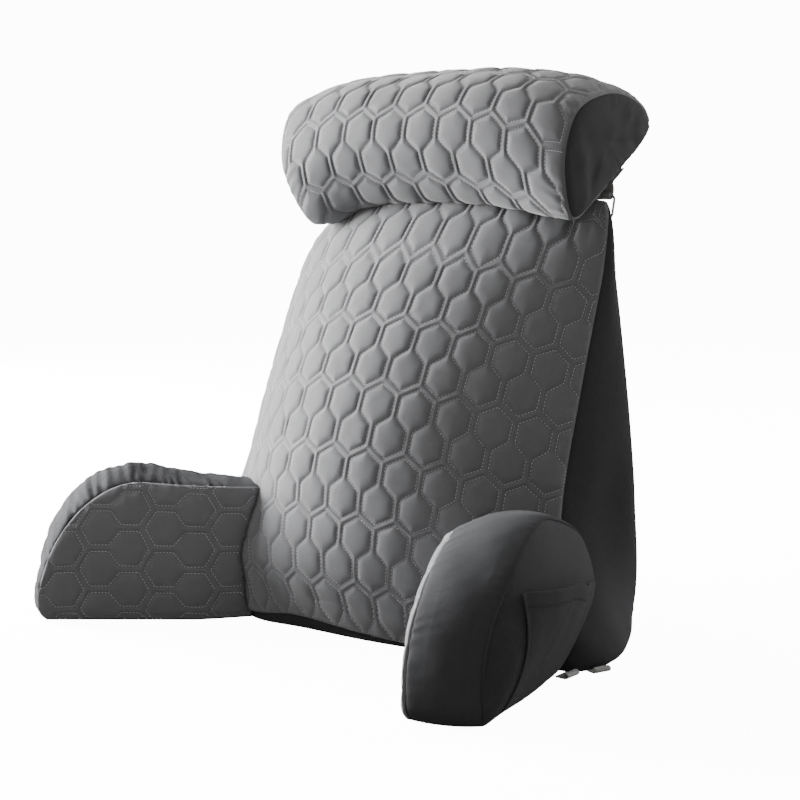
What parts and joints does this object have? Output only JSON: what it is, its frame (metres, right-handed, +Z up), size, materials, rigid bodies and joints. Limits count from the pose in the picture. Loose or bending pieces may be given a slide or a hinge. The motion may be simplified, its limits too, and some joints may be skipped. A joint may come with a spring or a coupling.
{
  "type": "reading pillow with arms",
  "caption": "Filled bed-rest pillow with a leaning back, two short arms, a side pocket and a strapped-on head roll, quilted in a honeycomb pattern.",
  "frame": {"origin": "centre of the whole pillow's bounding box on the plane it stands on", "axes": "+Z up; -Y is the way the sitter faces, out between the arms; +X is to the right of someone who looks at the pillow's quilted front"},
  "size_m": [0.75, 0.5373, 0.6899],
  "materials": {
    "charcoal_cloth": "matte brushed microfibre, plain",
    "quilted_grey_cloth": "matte brushed microfibre, stitched in a honeycomb over wadding",
    "webbing": "woven flat webbing",
    "steel": "plated round wire"
  },
  "bodies": {
    "root": {"back_cushion": "charcoal_cloth", "back_front_panel": "quilted_grey_cloth", "arm_left": "charcoal_cloth", "arm_right": "charcoal_cloth", "arm_left_panel": "quilted_grey_cloth", "arm_right_panel": "quilted_grey_cloth", "arm_pocket": "charcoal_cloth", "roll_cushion": "charcoal_cloth", "roll_cover": "quilted_grey_cloth", "roll_strap_left": "webbing", "roll_strap_right": "webbing", "back_strap_left": "webbing", "back_strap_right": "webbing", "strap_ring_left": "steel", "strap_ring_right": "steel", "base_tab_front": "webbing", "base_tab_rear": "webbing"}
  },
  "joints": []
}
